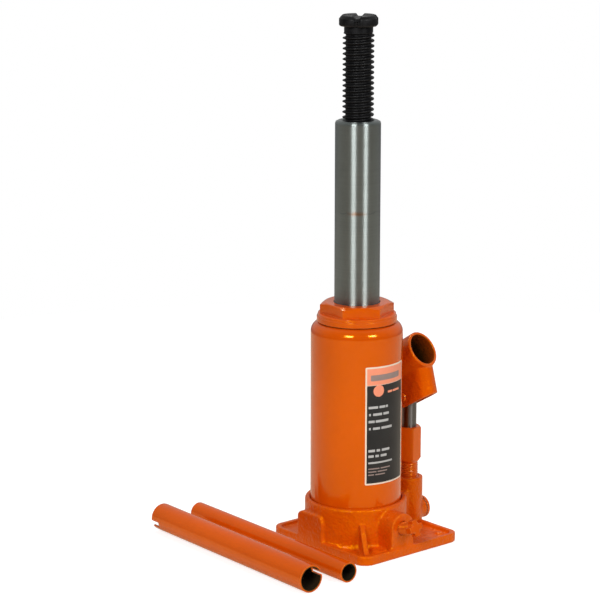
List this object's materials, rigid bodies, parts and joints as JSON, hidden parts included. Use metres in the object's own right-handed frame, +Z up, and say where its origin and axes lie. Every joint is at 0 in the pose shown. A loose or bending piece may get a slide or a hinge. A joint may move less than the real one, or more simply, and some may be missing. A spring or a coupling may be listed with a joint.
{
  "type": "hydraulic bottle jack",
  "caption": "Hydraulic bottle jack with raised ram, long extension screw, side pump with tilted handle socket, release valve, and a loose two-part tube handle.",
  "frame": {"origin": "on the ram axis at the underside of the foot casting", "axes": "+Z up along the ram, +X towards the pump, -Y towards the release valve, -X towards the blank lug"},
  "size_m": [0.1924, 0.1931, 0.413],
  "materials": {
    "orange_paint": "glossy orange enamel",
    "ram_steel": "ground steel",
    "bright_steel": "plain steel",
    "black_oxide": "satin black oxide",
    "copper": "soft copper",
    "rubber_black": "moulded rubber",
    "label_print": "printed label",
    "strainer_brass": "fine gauze cup"
  },
  "bodies": {
    "jack_base": {"base_casting": "orange_paint", "reservoir_tank": "orange_paint", "pressure_cylinder": "bright_steel", "top_nut": "orange_paint", "tank_top_gasket": "rubber_black", "tank_bottom_gasket": "rubber_black", "cylinder_gasket": "copper", "ram_wiper": "rubber_black", "ram_o_ring": "rubber_black", "pump_cylinder": "orange_paint", "pump_washer": "copper", "plunger_seal": "rubber_black", "lower_link_pin": "bright_steel", "lower_pin_clip": "black_oxide", "outlet_plug": "black_oxide", "safety_screw": "black_oxide", "valve_plug": "orange_paint", "valve_plug_washer": "copper", "oil_filler_plug": "rubber_black", "suction_strainer": "strainer_brass", "front_label": "label_print", "inlet_spring": "bright_steel", "outlet_spring": "bright_steel", "safety_spring": "bright_steel"},
    "ram_body": {"ram": "ram_steel", "piston_head": "bright_steel", "piston_cup": "rubber_black", "piston_nut": "bright_steel"},
    "screw_foot": {"screw_stop_ring": "bright_steel"},
    "screw_body": {"extension_screw": "black_oxide"},
    "plunger_body": {"pump_plunger": "bright_steel"},
    "lever_body": {"handle_socket": "orange_paint", "lever_yoke": "orange_paint", "plunger_pin": "bright_steel", "fulcrum_pin": "bright_steel", "lever_pin_clips": "black_oxide"},
    "link_body": {"link_plates": "orange_paint"},
    "valve_ball_body": {"release_valve_ball": "bright_steel"},
    "valve_screw_body": {"release_valve_screw": "orange_paint", "release_valve_o_ring": "rubber_black"},
    "inlet_ball_body": {"inlet_ball": "bright_steel"},
    "outlet_ball_body": {"outlet_ball": "bright_steel"},
    "safety_ball_body": {"safety_ball": "bright_steel"},
    "handle_large_body": {"handle_large_tube": "orange_paint"},
    "handle_small_body": {"handle_small_tube": "orange_paint"}
  },
  "joints": [
    {"name": "ram_lift", "type": "slide", "parent": "jack_base", "child": "ram_body", "axis": [0, 0, 1], "range_m": [-0.127, 0]},
    {"name": "screw_travel", "type": "slide", "parent": "ram_body", "child": "screw_foot", "axis": [0, 0, 1], "range_m": [-0.07, 0]},
    {"name": "screw_turn", "type": "hinge", "parent": "screw_foot", "child": "screw_body", "pos_m": [0, 0, 0.37], "axis": [0, 0, 1], "range_deg": [-6301, 1]},
    {"name": "plunger_stroke", "type": "slide", "parent": "jack_base", "child": "plunger_body", "axis": [0, 0, 1], "range_m": [-0.01224, 0.00386]},
    {"name": "lever_swing", "type": "hinge", "parent": "plunger_body", "child": "lever_body", "pos_m": [0.0566, 0, 0.1076], "axis": [-0.9851, -0.1719, 0], "range_deg": [-38.1, 12.1]},
    {"name": "link_swing", "type": "hinge", "parent": "lever_body", "child": "link_body", "pos_m": [0.05342, 0.01824, 0.10333], "axis": [-0.9851, -0.1719, 0], "range_deg": [-12.2, 38.2]},
    {"name": "valve_travel", "type": "slide", "parent": "jack_base", "child": "valve_ball_body", "axis": [0, -0.9703, 0.2419], "range_m": [0, 0.003]},
    {"name": "valve_turn", "type": "hinge", "parent": "valve_ball_body", "child": "valve_screw_body", "pos_m": [0, -0.0545, 0.0225], "axis": [0, -0.9703, 0.2419], "range_deg": [-1, 721]},
    {"name": "inlet_check", "type": "slide", "parent": "jack_base", "child": "inlet_ball_body", "axis": [0, 0, 1], "range_m": [0, 0.001], "stiffness_N_per_m": 60, "springref_m": -0.002, "deforming": ["inlet_spring"]},
    {"name": "outlet_check", "type": "slide", "parent": "jack_base", "child": "outlet_ball_body", "axis": [0, 0, -1], "range_m": [0, 0.001], "stiffness_N_per_m": 150, "springref_m": -0.002, "deforming": ["outlet_spring"]},
    {"name": "safety_lift", "type": "slide", "parent": "jack_base", "child": "safety_ball_body", "axis": [0, 0, -1], "range_m": [0, 0.0008], "stiffness_N_per_m": 400, "springref_m": -0.002, "deforming": ["safety_spring"]},
    {"name": "handle_large_lift", "type": "slide", "parent": "jack_base", "child": "handle_large_body", "axis": [0, 0, 1], "range_m": [0, 0.15]},
    {"name": "handle_small_lift", "type": "slide", "parent": "jack_base", "child": "handle_small_body", "axis": [0, 0, 1], "range_m": [0, 0.15]}
  ],
  "couplings": [
    {"joint": "screw_turn", "follows": "screw_travel", "rad_per_m": 1570.8},
    {"joint": "lever_swing", "follows": "plunger_stroke", "rad_per_m": 54.201},
    {"joint": "link_swing", "follows": "plunger_stroke", "rad_per_m": -54.201},
    {"joint": "valve_turn", "follows": "valve_travel", "rad_per_m": 4188.8}
  ]
}
